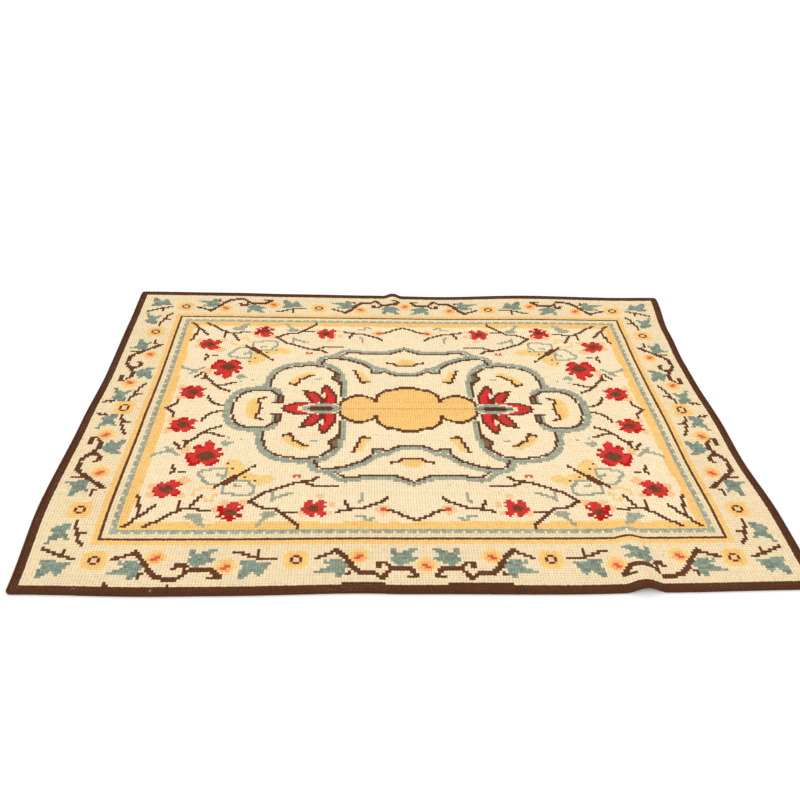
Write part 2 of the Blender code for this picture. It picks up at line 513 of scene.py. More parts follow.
# %% [markdown]
# ## Butterflies
# A butterfly sits in each corner of the field: a brown body, two gold wings with dark spots,
# two wings drawn only as a thin green line, and a loose petal in outline behind it.

# %% The butterfly
GOLD_WINGS = (
    ((50.6, 45), (53, 42.6), (57, 43.2), (61, 41), (64.4, 41.6), (64, 45), (58.6, 46.6),
     (57, 48.2), (53, 47.4)),
    ((64, 43.4), (68.4, 43), (70.4, 37), (69, 33), (65.6, 34), (62, 37.4)),
)
WING_SPOTS = ((58, 46), (62, 44), (67, 39), (69, 36))
OPEN_WINGS = (
    ((65, 46.4), (62, 45.8), (60.4, 46.6), (58.8, 48.6), (58.2, 51), (57.8, 53.4), (60, 54.4),
     (63, 54.2), (65.6, 52.8), (68, 53.2), (69.2, 51.6), (68.8, 49)),
    ((70, 45), (69, 42.4), (69, 39.2), (73, 39), (75.4, 40), (78.6, 40.8), (79, 43), (77, 44.4),
     (76.4, 46.8), (74.6, 48), (72.2, 47.8)),
    ((63, 49), (65, 48)), ((70, 43), (72, 42.4)),
)
BODY = (
    # first and last place, thickness, wool
    ((64.6, 43), (69.6, 47.8), 1.9, "brown"), ((66, 44.4), (68.4, 46.8), 3.0, "brown"),
    ((66.6, 45), (68, 46.4), 1.4, "rust"),
)
FEELERS = (((69.6, 48), (71.6, 49.8)), ((64, 42), (62, 40.4), (60.9, 39.3)), ((60, 38), (59, 37)))
LOOSE_PETAL = (
    ((71.6, 50.6), (76, 50.2), (79, 51.4), (79, 54)), ((71.4, 53), (71.6, 57), (74, 57.4), (74.6, 55)),
)
for wing in GOLD_WINGS:
    shape(wing, "honey")
lines([(spot, spot) for spot in WING_SPOTS], "brown")
lines(OPEN_WINGS, "pale_green")
for start, end, thick, wool in BODY:
    band((start, end), wool, thick)
lines(FEELERS, "brown")
lines(LOOSE_PETAL, "honey")
print("butterfly drawn")

# %% [markdown]
# ## Branches and leaf sprays
# Thin brown branches link the flowers, a little over one stitch thick, with short spurs. Pale
# green sprays lie among them: a small leaf, filled, and its stem. A route here is a handful of
# places, and the pen makes the steps between.

# %% Branches of the field
BRANCHES = (
    ((0, 66.7), (2, 65.5), (5, 64), (7, 62.7), (9.5, 62)),
    ((9.6, 55.4), (10.5, 57), (14, 58.5), (18, 60.5), (21, 61), (24, 62), (28, 62.8)),
    ((23.8, 61), (24, 58.5), (25, 57)),
    ((41.2, 70.6), (41.2, 69), (42, 67.8), (45, 65), (47, 62.8), (48.5, 61.6), (53, 60.6),
     (54.4, 59.8), (56, 59.3)),
    ((41.8, 62.6), (46, 62.6)),
    ((56.6, 58.6), (58.8, 57.2), (57, 55.4), (55, 53), (52.4, 51.4), (50, 50.2), (44, 47.4),
     (41, 47), (37, 48.5), (28, 49.4)),
    ((40.8, 46.4), (36, 45.2)), ((35, 44), (36, 44)),
    ((93, 70), (90, 67.5), (87, 65), (84, 62.5), (82, 60.8), (78, 60.5), (76, 61.8), (72, 62.3)),
    ((83.2, 61), (83.2, 57.2)), ((80, 60.6), (77.5, 57.4), (76.2, 54.2)),
    ((100, 70.4), (98, 68), (95.8, 65.2), (93.8, 62.6), (92, 60), (91.4, 59)),
    ((95.4, 64), (95.8, 61), (96.6, 58), (97.6, 54)), ((97, 60), (97, 57)),
    ((74.6, 12.4), (77, 13.6), (80, 16.2), (82, 18), (83.8, 20.4), (85, 22.4), (86, 23.6),
     (86.8, 25.8)),
    ((85.8, 23), (87.6, 21.8)), ((73.4, 19), (75.6, 17.8), (80, 17)),
    ((88.4, 27.4), (89.2, 25), (90.8, 23.2)),
    ((76, 2.3), (78.6, 2.6), (81, 5), (82.8, 7.4), (83.4, 9)),
    ((98.6, 0), (97, 1.2), (96.2, 2.4), (95.2, 3.8), (94.6, 6)),
    ((83.6, 41), (85.6, 41)), ((89.2, 36.6), (89.2, 38), (88.2, 40), (88.6, 42)),
)
SPRAY_LEAVES = (
    ((81, 65), (78.5, 63.5), (75, 63.6), (74, 66), (72.5, 70.5), (74.5, 69.5), (77.5, 67)),
    ((48.4, 64.6), (49.4, 63), (53.6, 62.8), (54.4, 64), (52.6, 66), (51, 65.4)),
    ((73.8, 24), (72.5, 21.5), (71, 22.5), (67.5, 22), (69.5, 23.8), (71.5, 25.5)),
    ((94.6, 25.4), (91, 26.4), (90.6, 28.6), (93.4, 28)),
    ((50.2, 52), (51.4, 52), (51.6, 58), (50.4, 58)),
)
SPRAY_STEMS = (
    ((51.6, 65.4), (53, 67), (54.6, 70)), ((88, 31), (90, 29), (91, 28)),
    ((98, 31.6), (97, 30), (94, 29), (90, 28.5)), ((43.5, 53), (46, 53.6), (49, 55.4), (50.6, 56)),
    ((18.8, 53), (18.6, 57), (19.8, 57.6)), ((15, 66.4), (17, 66.6), (18.4, 65.4), (21, 64.8)),
    ((71, 20), (71, 20)), ((65.5, 21), (66, 21)),
)
lines(BRANCHES, "brown")
for leaf in SPRAY_LEAVES:
    shape(leaf, "pale_green")
lines(SPRAY_STEMS, "pale_green")
print("branches", len(BRANCHES), "sprays", len(SPRAY_LEAVES) + len(SPRAY_STEMS))

# %% [markdown]
# ## The border's vine
# A brown vine nearly two stitches thick waves along the border, with green leaves and small
# flowers on both sides of it. Each long side has two lengths of it, alike but not the same, as
# the maker's hand had it, so both are drawn. The short sides have their own.

# %% Vine, twigs, leaves and flowers of the border
NEAR_LEAF = """
    ......ll..
    ....lllll.
    ..llllllll
    .lllllllll
    ...llllll.
    ...lllllll
    ..llll..ll
    .lll....ll
""".split()
HANGING_LEAF = """
    ..ll.......
    .lll.......
    .llllllllll
    .llllllll..
    lllllll....
    llllll.....
    .lllllll...
    ..llll.l...
""".split()
TWIG_LEAF = """
    .........ll
    ....l...lll
    ...lll.llll
    ...llllllll
    ..llllllll.
    ..llllllll.
    .llllllllll
    ......lllll
""".split()
SIDE_LEAF = """
    ......ll
    ......l.
    ll..lll.
    .llllll.
    .lllll..
    ..llll..
    ..lllll.
    .llllll.
    .lllll..
    .lll....
""".split()
BENT_LEAF = """
    ....ll...
    ....ll...
    l..lll...
    llllll...
    .lllll...
    .lllll...
    .llllll..
    .llllllll
    .llll....
""".split()
INNER_LEAF = """
    llll....
    .lllll..
    ..lllll.
    .lllllll
    .lllllll
    .llllll.
    lllllll.
    lll.ll..
    ll...l..
""".split()
RING_FLOWER = """
    .hghggh.
    hggggggh
    ggnbbngg
    hgbppbgh
    hgbppbgh
    ggnbbngg
    hggggggh
    .hgghgh.
""".split()
STAR_FLOWER = """
    ..hhh..
    .hnnnh.
    hnnffnh
    hgffngh
    hgnnngh
    .hgggh.
    ..hhh..
""".split()
NEAR_VINE = ((3.7, 93), (1, 93), (1.5, 92.7), (2, 91), (3.5, 89.3), (7.5, 89.3), (9.5, 90), (11, 91.5),
             (12.8, 93.7), (14, 92.5), (16, 91), (19.5, 91.3), (21, 90.5), (22.5, 88), (24, 85), (26, 83),
             (27.6, 81.6))
FAR_VINE = ((67.5, 93), (64.3, 93), (64.5, 92.5), (66, 90.5), (68, 89.5), (74, 89.7), (76, 91.5), (78, 93.3),
            (81, 93.5), (85, 92), (87, 90), (90, 85.5), (93.2, 81.8))
SIDE_VINE = ((110.5, 50), (114, 47.3), (118, 44), (121, 41.5), (122.8, 38.5), (123, 34), (121.5, 31.5),
             (119.5, 29.5), (118.5, 26), (119, 22), (120.5, 19.8), (122.5, 20.5), (122.7, 23.5))
OFFSHOOTS = (
    ((28.4, 82.2), (31, 83.5), (33.5, 84.8)), ((10, 88.5), (11, 87), (13.3, 87), (13.7, 88.7)),
    ((94.5, 82.8), (99.5, 85)), ((76, 89.5), (75.5, 87.8), (79, 87.3), (79.3, 89)),
    ((119, 30.5), (117, 31), (116.3, 34), (118, 35)),
)
TWIGS = (
    ((22.5, 90.5), (23, 91.5), (24.3, 92.4)), ((88.5, 90.5), (90, 93)),
    ((47, 85.3), (51, 85.3), (53, 84.3), (55, 83.5), (58, 82.3), (61, 81.5)), ((52.5, 84), (52.5, 81.3)),
    ((111.5, 84.8), (115, 84.3), (118, 82.8), (120, 81.8), (123, 80.2)), ((116, 83.5), (116, 80.8)),
    ((115, 67.2), (115, 70), (114, 73), (113, 75.5), (112, 77.5), (110.8, 79)), ((114, 72.5), (111, 73)),
    ((111, 18), (112.6, 14), (114, 10), (115, 4.4)), ((110.6, 9.6), (113.6, 9.4)),
    ((123, 43.5), (120, 43.7)), ((112.5, 50.5), (113.5, 52), (114.3, 54)),
    ((124.5, 4), (123.5, 4.8), (122, 5.4), (121.3, 4.8), (121.6, 3.8)),
)
VINE_THICK = 1.9
OFFSHOOT_THICK = 1.6
for vine in (NEAR_VINE, FAR_VINE, SIDE_VINE):
    band(vine, "brown", VINE_THICK)
for offshoot in OFFSHOOTS:
    band(offshoot, "brown", OFFSHOOT_THICK)
lines(TWIGS, "brown")
# Columns: motif, then the left and lower stitch of each place.
BORDER_MOTIFS = (
    (NEAR_LEAF, (0, 81), (66, 81)), (HANGING_LEAF, (24, 86), (90, 86)), (TWIG_LEAF, (48, 86), (112, 86)),
    (SIDE_LEAF, (116, 69), (116, 5)), (BENT_LEAF, (116, 46)), (INNER_LEAF, (110, 22)),
    (RING_FLOWER, (102, 82), (37, 82), (112, 58), (112, -3)),
    (STAR_FLOWER, (83, 81), (60, 85), (17, 81), (111, 38), (115, 15)),
)
for rows, *places in BORDER_MOTIFS:
    for left, low in places:
        motif(quarter, left, low, rows)
print("leaf green stitches in the quarter", int((quarter == NUMBER["leaf_green"]).sum()))

# %% [markdown]
# ## The whole chart
# Mirrored left to right and front to back, the quarter gives all 51,541 stitches. No handmade
# rug is quite even, though. The right half of the long borders begins four stitches late and
# catches up where a column is left out between motifs. The gold band's inner row is ragged, and
# a few dark yarn ends have strayed into the cream.

# %% Mirror the quarter
right_half = np.concatenate((quarter[:0:-1], quarter))
chart = np.concatenate((right_half[:, :0:-1], right_half), axis=1)
row_of = np.arange(STITCHES_WIDE) - MIDDLE_WIDE

LEFT_OUT = (36, 45, 77, 101)  # columns left out of the right half of the long borders
BORDER_ROWS = (79, 95)  # counted from the middle
late = np.delete(np.arange(MIDDLE_LONG + 1), LEFT_OUT)
late = np.concatenate((late[:1], np.full(len(LEFT_OUT), -1), late[1:]))
in_border = (np.abs(row_of) >= BORDER_ROWS[0]) & (np.abs(row_of) <= BORDER_ROWS[1])
for row in np.nonzero(in_border)[0]:
    half_row = chart[row, MIDDLE_LONG:].copy()
    chart[row, MIDDLE_LONG:] = np.where(late < 0, NUMBER["border_cream"], half_row[late])
MIDDLE_STAR = (-1, 85)  # its left stitch, and the one nearest the middle
for sheet in (chart, chart[::-1]):
    motif(sheet, MIDDLE_LONG + MIDDLE_STAR[0], MIDDLE_WIDE + MIDDLE_STAR[1], STAR_FLOWER)

# %% Signs of the hand
stray = np.random.default_rng(17)
RUN = 4  # stitches worked before the row wanders
RAGGED_ROW = 31  # from the edge: the gold band's inner row
RAGGED_WOOLS = (("gold", "honey", "field_cream"), (0.5, 0.3, 0.2))  # wools, share of each


def make_ragged(sheet):
    """Let the gold band's inner row wander on two opposite sides of the chart."""
    long = sheet.shape[1]
    inside = np.minimum(np.arange(long), np.arange(long)[::-1]) >= RAGGED_ROW
    for index in (RAGGED_ROW, len(sheet) - 1 - RAGGED_ROW):
        runs = stray.choice(RAGGED_WOOLS[0], long // RUN + 1, p=RAGGED_WOOLS[1])
        wools = np.repeat([NUMBER[run] for run in runs], RUN)[:long]
        ragged = inside & (sheet[index] == NUMBER["gold"])
        sheet[index, ragged] = wools[ragged]


make_ragged(chart)
make_ragged(chart.T)
# Columns: first and last x, y, wool, in stitches from the middle.
STRAYS = (
    (-100, -100, -95, "brown"), (-100, -99, -96, "brown"), (-80, -80, -96, "brown"),
    (-85, -85, -98, "mauve"), (-25, -12, -96, "edge_brown"), (9, 29, -96, "edge_brown"),
)
for first, last, y, wool in STRAYS:
    chart[MIDDLE_WIDE + y, MIDDLE_LONG + first:MIDDLE_LONG + last + 1] = NUMBER[wool]
print("chart", chart.shape, "stitches in all", chart.size)

# %% [markdown]
# ## The wool's finish
# Hooking wool is thick, matt and a little hairy, and twisted from a few plies. No two stitches
# take the dye alike, and whole rows differ where a new ball was begun. The stitches' own shades
# are an attribute on the mesh. The fibres are fine noise on object coordinates, and the plies
# are stripes that follow each stitch through its own map. The grooves between the plies are
# also painted a little darker, as painted shade. A few pens for materials come first, because
# the canvas needs the same ones.

# %% Pens for materials
def new_material(name, values):
    """A material with some of its shader's sockets set. Gives back its nodes and shader too."""
    material = bpy.data.materials.new(name)
    material.use_nodes = True
    shader = material.node_tree.nodes["Principled BSDF"]
    for socket, value in values.items():
        shader.inputs[socket].default_value = value
    return material, material.node_tree, shader


def node(tree, kind, values=(), vector=None, **settings):
    """A new node with its settings and some sockets set, and what its vector reads."""
    made = tree.nodes.new("ShaderNode" + kind)
    for setting, value in settings.items():
        setattr(made, setting, value)
    for socket, value in dict(values).items():
        made.inputs[socket].default_value = value
    if vector:
        tree.links.new(vector, made.inputs["Vector"])
    return made


def ranged(tree, source, low, high, start=0.0, end=1.0):
    """A value brought from the range start to end into the range low to high."""
    sockets = {"From Min": start, "From Max": end, "To Min": low, "To Max": high}
    change = node(tree, "MapRange", sockets)
    tree.links.new(source, change.inputs["Value"])
    return change.outputs["Result"]


def combined(tree, operation, first, second):
    """Two values worked into one."""
    both = node(tree, "Math", operation=operation)
    tree.links.new(first, both.inputs[0])
    tree.links.new(second, both.inputs[1])
    return both.outputs["Value"]


def raise_surface(tree, shader, height, strength, distance):
    """Low relief from a value."""
    bump = node(tree, "Bump", {"Strength": strength, "Distance": distance})
    tree.links.new(height, bump.inputs["Height"])
    tree.links.new(bump.outputs["Normal"], shader.inputs["Normal"])


print("material pens ready")

# %% Wool material
WOOL_ROUGHNESS = 0.95
FIBRE_SCALE = 900.0
FADE_SCALE = 4.0
FIBRE_RELIEF = 0.5  # share of the fibres in the relief, beside the plies


def wool_material(name, colour, uneven):
    """Matt plied wool of one dye."""
    material, tree, shader = new_material(name, {
        "Roughness": WOOL_ROUGHNESS, "Specular IOR Level": 0.10,
        "Sheen Weight": 0.03, "Sheen Roughness": 0.5})
    shade = node(tree, "Attribute", attribute_name="shade")
    place = node(tree, "TexCoord").outputs["Object"]
    fibre = node(tree, "TexNoise", {"Scale": FIBRE_SCALE, "Detail": 3.0}, place)
    fade = node(tree, "TexNoise", {"Scale": FADE_SCALE, "Detail": 2.0}, place)
    loop_map = node(tree, "UVMap", uv_map="loop").outputs["UV"]
    plies = node(tree, "TexWave", {"Scale": 1.25, "Distortion": 1.5, "Detail": 1.0}, loop_map,
                 wave_type="BANDS", bands_direction="DIAGONAL")

    tint = node(tree, "Mix", data_type="RGBA", clamp_factor=False)
    tint.inputs["A"].default_value = (*[(1 - uneven) * part for part in colour], 1)
    tint.inputs["B"].default_value = (*[min(1.0, (1 + uneven) * part) for part in colour], 1)
    tree.links.new(shade.outputs["Fac"], tint.inputs["Factor"])
    fibres = ranged(tree, fibre.outputs["Fac"], 0.90, 1.06, start=0.30, end=0.70)
    fades = ranged(tree, fade.outputs["Fac"], 0.95, 1.05)
    # The plies also darken the colour in their grooves. This is painted shade, beside the bump's real
    # relief.
    painted_groove_shade = ranged(tree, plies.outputs["Fac"], 0.87, 1.05)
    yarn = combined(tree, "MULTIPLY", fibres, painted_groove_shade)
    # The dye's tint times the fibres and the fading, and times the painted shade in the grooves.
    worn_and_groove_shaded = node(tree, "VectorMath", operation="SCALE")
    tree.links.new(tint.outputs["Result"], worn_and_groove_shaded.inputs[0])
    tree.links.new(combined(tree, "MULTIPLY", yarn, fades), worn_and_groove_shaded.inputs["Scale"])
    tree.links.new(worn_and_groove_shaded.outputs["Vector"], shader.inputs["Base Color"])

    relief = node(tree, "Math", {1: FIBRE_RELIEF}, operation="MULTIPLY_ADD")
    tree.links.new(fibre.outputs["Fac"], relief.inputs[0])
    tree.links.new(plies.outputs["Fac"], relief.inputs[2])
    raise_surface(tree, shader, relief.outputs["Value"], 0.55, 0.0006)
    return material


MATERIALS = {name: wool_material(name, colour, uneven) for name, colour, uneven in WOOLS}
print("materials", len(MATERIALS))

# %% [markdown]
# ## One stitch
# A stitch is a short, fat loop of wool: square at the canvas, where it fills its hole, and
# rounded at the top. A bent tube would be truer, but it is repeated fifty thousand times, so it
# has only fourteen triangles. It is modelled once from a cube: the sole is widened, and the top
# is drawn in, turned cornerwise and poked up to a crown.

# %% One stitch, by hand
def start_clean():
    """Leave edit mode and deselect everything."""
    if bpy.context.object and bpy.context.object.mode != "OBJECT":
        bpy.ops.object.mode_set(mode="OBJECT")
    bpy.ops.object.select_all(action="DESELECT")


FOOT_SHARE = 1.22  # width of the foot in stitches: it crowds its neighbours, so no canvas shows
SHOULDER_SHARE = 0.70  # width of the square shoulder, which is turned cornerwise
ROOT = 0.0010  # how deep the foot sits in the canvas
CROWN = 0.0008  # height of the crown over the shoulder
SHOULDER = PILE_TOP - CROWN - CANVAS_TOP + ROOT  # height of the shoulder over the foot
UPRIGHT = 0.9  # a face counts as the top or the sole when its normal is this upright


def pick_face(up):
    """Select the stitch's top (up = 1) or its sole (up = -1) for the next edit."""
    bpy.ops.object.mode_set(mode="EDIT")
    bpy.ops.mesh.select_mode(type="FACE")
    bpy.ops.mesh.select_all(action="DESELECT")
    bpy.ops.object.mode_set(mode="OBJECT")
    for face in tuft.data.polygons:
        face.select = face.normal.z * up > UPRIGHT
    bpy.ops.object.mode_set(mode="EDIT")


start_clean()
bpy.ops.mesh.primitive_cube_add(size=1, location=(0, 0, 0.5))
tuft = bpy.context.object
tuft.name = "one_stitch"
bpy.ops.object.transform_apply(location=True, rotation=True, scale=True)
pick_face(-1)
bpy.ops.transform.resize(value=(FOOT_SHARE, FOOT_SHARE, 1), center_override=(0, 0, 0))
pick_face(1)
bpy.ops.transform.resize(value=(SHOULDER_SHARE, SHOULDER_SHARE, 1), center_override=(0, 0, 1))
bpy.ops.transform.rotate(value=math.radians(45), orient_axis="Z", center_override=(0, 0, 1))
bpy.ops.mesh.poke(offset=CROWN / SHOULDER)
bpy.ops.object.mode_set(mode="OBJECT")
TUFT_POINTS = np.array([point.co for point in tuft.data.vertices])
TUFT_FACES = [tuple(face.vertices) for face in tuft.data.polygons]
bpy.data.objects.remove(tuft, do_unlink=True)
print("one stitch", len(TUFT_POINTS), "points", len(TUFT_FACES), "faces")

# %% [markdown]
# ## The pile
# Now each square of the chart gets its stitch. Placing fifty thousand objects one by one would
# take many minutes, so the one stitch is copied in arrays: all copies of one wool become one
# mesh, and the field's cream, the largest, becomes two. A seeded random draw gives every stitch
# its own height, lean, turn and size, and its shade of the dye, which also changes a little from
# row to row.

# %% Copies in arrays
draw = np.random.default_rng(59)
ROW_SPREAD = 0.12  # how much whole rows differ in shade, as one standard deviation
SHADE_SPREAD = 0.22  # the same for single stitches
ROW_SHADE = draw.normal(0, ROW_SPREAD, STITCHES_WIDE)
SEAM = (-28, 52)  # a darker run in the middle row: its first stitch, and the one past its last
SEAM_DARKER = 1.2
STITCH_SHADE = np.clip(0.5 + ROW_SHADE[:, None] + draw.normal(0, SHADE_SPREAD, chart.shape), 0, 1)
STITCH_SHADE[MIDDLE_WIDE, MIDDLE_LONG + SEAM[0]:MIDDLE_LONG + SEAM[1]] -= SEAM_DARKER


def in_cells(cell, count):
    """Lay one square map per copy side by side, so that the whole sheet runs from 0 to 1."""
    wide = math.ceil(math.sqrt(count))
    number = np.arange(count)
    corner = np.stack((number % wide, number // wide), axis=-1)
    return ((corner[:, None] + cell[None]) / wide).reshape(-1, 2)


def mesh_of(name, points, faces, sheet_map, corners_map, shades):
    """A mesh from arrays, with its flat map, its loop map and its shades."""
    mesh = bpy.data.meshes.new(name)
    mesh.from_pydata(points, [], faces)
    corner_points = np.zeros(len(mesh.loops), int)
    mesh.loops.foreach_get("vertex_index", corner_points)
    bake = mesh.uv_layers.new(name="OFBake")
    bake.data.foreach_set("uv", sheet_map.astype(np.float32).ravel())
    loop_map = mesh.uv_layers.new(name="loop")
    loop_map.data.foreach_set("uv", corners_map[corner_points].astype(np.float32).ravel())
    shade = mesh.attributes.new("shade", "FLOAT", "POINT")
    shade.data.foreach_set("value", shades.astype(np.float32))
    mesh.shade_smooth()
    return mesh


def show(name, mesh, material):
    """Put a finished mesh in the scene, riding on the rug's body."""
    mesh.materials.append(MATERIALS[material])
    piece = bpy.data.objects.new(name, mesh)
    bpy.context.scene.collection.objects.link(piece)
    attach(piece, "root")
    return piece


FOOT_CELL = (0.02, 0.86)  # where a stitch, seen from above, lies in its cell of the map
SOLE_CELL = (0.89, 0.98)  # its sole gets a small square in the cell's corner
TUFT_CELL = []
for face in TUFT_FACES:
    flat = TUFT_POINTS[list(face)]
    start, end = SOLE_CELL if np.ptp(flat[:, 2]) == 0 else FOOT_CELL
    TUFT_CELL += (start + (end - start) * (flat[:, :2] / FOOT_SHARE + 0.5)).tolist()
TUFT_CELL = np.array(TUFT_CELL)
# How much stitches differ, each as one standard deviation.
TURN_SPREAD = 0.12  # radians
SIZE_SPREAD = 0.03
TALL_SPREAD = 0.05
LEAN_SPREAD = 0.0006  # metres at the shoulder


def pile_of(name, where, material):
    """All stitches of one wool as one piece."""
    rows, columns = np.nonzero(where)
    count = len(rows)
    turn = draw.normal(0, TURN_SPREAD, count)
    size = STITCH * (1 + draw.normal(0, SIZE_SPREAD, count))
    tall = SHOULDER * (1 + draw.normal(0, TALL_SPREAD, count))
    lean = draw.normal(0, LEAN_SPREAD, (count, 2))
    local_x, local_y, _local_z = (TUFT_POINTS[None] * size[:, None, None]).transpose(2, 0, 1)
    cos, sin = np.cos(turn)[:, None], np.sin(turn)[:, None]
    up = TUFT_POINTS[None, :, 2]
    x = (columns - MIDDLE_LONG)[:, None] * STITCH + cos * local_x - sin * local_y + lean[:, :1] * up
    y = (rows - MIDDLE_WIDE)[:, None] * STITCH + sin * local_x + cos * local_y + lean[:, 1:] * up
    points = laid(x, y, CANVAS_TOP - ROOT + up * tall[:, None]).reshape(-1, 3)
    starts = range(0, count * len(TUFT_POINTS), len(TUFT_POINTS))
    faces = [tuple(start + corner for corner in face) for start in starts for face in TUFT_FACES]
    shift = np.repeat(draw.random((count, 1)), len(TUFT_POINTS), axis=0)
    loop_map = np.tile(TUFT_POINTS[:, :2] + 0.5, (count, 1)) + shift
    shades = np.repeat(STITCH_SHADE[rows, columns], len(TUFT_POINTS))
    mesh = mesh_of(name, points, faces, in_cells(TUFT_CELL, count), loop_map, shades)
    return show(name, mesh, material)


left_side = np.arange(STITCHES_LONG)[None, :] < MIDDLE_LONG
for name, number in NUMBER.items():
    found = chart == number
    if name == "field_cream":
        pile_of("pile_field_cream_left", found & left_side, name)
        pile_of("pile_field_cream_right", found & ~left_side, name)
    elif found.any():
        pile_of("pile_" + name, found, name)
    print(name, int(found.sum()), "stitches")

# %% [markdown]
# ## The canvas
# The canvas carries the stitches, and from below it shows their backs: flat, paler rows of the
# same pattern. It could be a few large faces, because the pile hides its upper side. But it has
# to keep close to the wool on the ripples, and its underside takes each stitch's own colour. So
# it is a closed sheet a few millimetres thick, with one face below for each stitch. Above, where
# only slits between the loops show, a face is one stitch along and four across.

# %% Canvas mesh
TOP_STEP = 4  # stitches across from one grid line of the upper side to the next
TOP_ROWS = sorted({*range(0, STITCHES_WIDE, TOP_STEP), STITCHES_WIDE})
UPPER_FACES = (len(TOP_ROWS) - 1) * STITCHES_LONG
LONG_WALL_FACES = 2 * STITCHES_LONG


def canvas_mesh():
    """The canvas as one closed mesh: underside, upper side, long walls, short walls."""
    columns, rows = range(STITCHES_LONG + 1), range(STITCHES_WIDE + 1)
    low = [(column, row, 0.0) for row in rows for column in columns]
    high = [(column, row, CANVAS_TOP) for row in TOP_ROWS for column in columns]
    spots = np.array(low + high)
    points = laid(spots[:, 0] * STITCH - HALF_LONG, spots[:, 1] * STITCH - HALF_WIDE, spots[:, 2])

    def under(column, row):
        return row * len(columns) + column

    def over(column, row):
        return len(low) + TOP_ROWS.index(row) * len(columns) + column

    faces = [(under(c, r), under(c, r + 1), under(c + 1, r + 1), under(c + 1, r))
             for r in rows[:-1] for c in columns[:-1]]
    top_runs = list(zip(TOP_ROWS, TOP_ROWS[1:]))
    faces += [(over(c, r), over(c + 1, r), over(c + 1, r_next), over(c, r_next))
              for r, r_next in top_runs for c in columns[:-1]]
    back = STITCHES_WIDE
    for c in columns[:-1]:
        faces.append((under(c, 0), under(c + 1, 0), over(c + 1, 0), over(c, 0)))
        faces.append((under(c + 1, back), under(c, back), over(c, back), over(c + 1, back)))
    right = STITCHES_LONG
    for r, r_next in top_runs:
        run = range(r, r_next + 1)
        faces.append((*[under(right, k) for k in run], over(right, r_next), over(right, r)))
        faces.append((*[under(0, k) for k in reversed(run)], over(0, r), over(0, r_next)))
    return points, faces, spots


canvas_points, canvas_faces, canvas_spots = canvas_mesh()
print("canvas", len(canvas_points), "points", len(canvas_faces), "faces")

# %% [markdown]
# ## The back of the stitches
# From below, the wool shows only as flat bars between the cotton threads, and all round the edge
# a hem of bare canvas is turned under. The upper side shows only in slits between the loops, as
# the wool's own colour in shade. Each face's colour is stored on the mesh as a colour attribute,
# and the threads are two crossed waves on object coordinates, one ridge for each hole.

# %% Canvas finish
HEM = 6  # stitches of bare canvas turned under
COTTON = (0.62, 0.52, 0.36)
BACK_SHARE = 0.75  # how much of the wool's colour is left on its back, beside the cotton
BACK_DARKEST = 0.75  # what the darkest shade of a dye leaves of that colour
BETWEEN_SHADE = 0.38  # how much light gets down between the loops
WAVE_PITCH = math.pi / 10  # metres between the ridges of a wave texture of scale 1


def canvas_material():
    """Cotton canvas with the backs of the stitches in it, and painted shade on its upper side and walls."""
    material, tree, shader = new_material("canvas_back_and_painted_shade", {
        "Roughness": WOOL_ROUGHNESS, "Specular IOR Level": 0.2})
    place = node(tree, "TexCoord").outputs["Object"]
    wave = {"Scale": WAVE_PITCH / STITCH, "Distortion": 0.6, "Detail Scale": 3.0}
    warp, weft = [node(tree, "TexWave", wave, place, bands_direction=direction).outputs["Fac"]
                  for direction in ("X", "Y")]
    cross = combined(tree, "MAXIMUM", warp, weft)
    # The attribute holds the stitches' backs below, and painted shade on the upper side and the walls.
    backs = node(tree, "Attribute", attribute_name="stitch_backs_and_painted_shade")
    colours = node(tree, "Mix", data_type="RGBA")
    colours.inputs["B"].default_value = (*COTTON, 1)
    tree.links.new(ranged(tree, cross, 0.0, 0.75, start=0.70, end=0.98), colours.inputs["Factor"])
    tree.links.new(backs.outputs["Color"], colours.inputs["A"])
    tree.links.new(colours.outputs["Result"], shader.inputs["Base Color"])
    raise_surface(tree, shader, cross, 0.6, 0.0008)
    return material


def sides_of(mesh):
    """How many corners each face has."""
    return np.array([face.loop_total for face in mesh.polygons])


def canvas_colours_and_painted_shade(mesh):
    """Store each face's colour: its stitch's wool, paler below, in painted shade above and on the walls, or
    the hem.
    """
    dyes = np.array([colour for _name, colour, _uneven in WOOLS])[chart]
    shade = BACK_DARKEST + (1 - BACK_DARKEST) * STITCH_SHADE[..., None]
    backs = (BACK_SHARE * dyes + (1 - BACK_SHARE) * np.array(COTTON)) * shade
    row, column = np.mgrid[0:STITCHES_WIDE, 0:STITCHES_LONG]
    edge = np.minimum(np.minimum(row, row[::-1]), np.minimum(column, column[:, ::-1]))
    backs[edge < HEM] = COTTON
    colours = np.ones((len(mesh.polygons), 4))
    colours[:chart.size, :3] = backs.reshape(-1, 3)
    middles = np.array([canvas_spots[list(face)].mean(axis=0) for face in canvas_faces[chart.size:]])
    over_column = np.minimum(middles[:, 0].astype(int), STITCHES_LONG - 1)
    over_row = np.minimum(middles[:, 1].astype(int), STITCHES_WIDE - 1)
    # The upper side and the walls get the wool over them in painted shade, darkened by BETWEEN_SHADE.
    colours[chart.size:, :3] = BETWEEN_SHADE * dyes[over_row, over_column]
    attribute = mesh.color_attributes.new("stitch_backs_and_painted_shade", "FLOAT_COLOR", "CORNER")
    corner_colours = np.repeat(colours, sides_of(mesh), axis=0)
    attribute.data.foreach_set("color", corner_colours.astype(np.float32).ravel())


# How the canvas's flat map is shared out, counted up its side.
MAP_UNDERSIDE = 0.76
MAP_UPPER = (0.78, 0.10)  # start and width
MAP_WALLS = (0.90, 0.94)  # start of the long walls and of the short ones
MAP_NEXT_WALL = 0.02
MAP_WALL_WIDE = 0.015


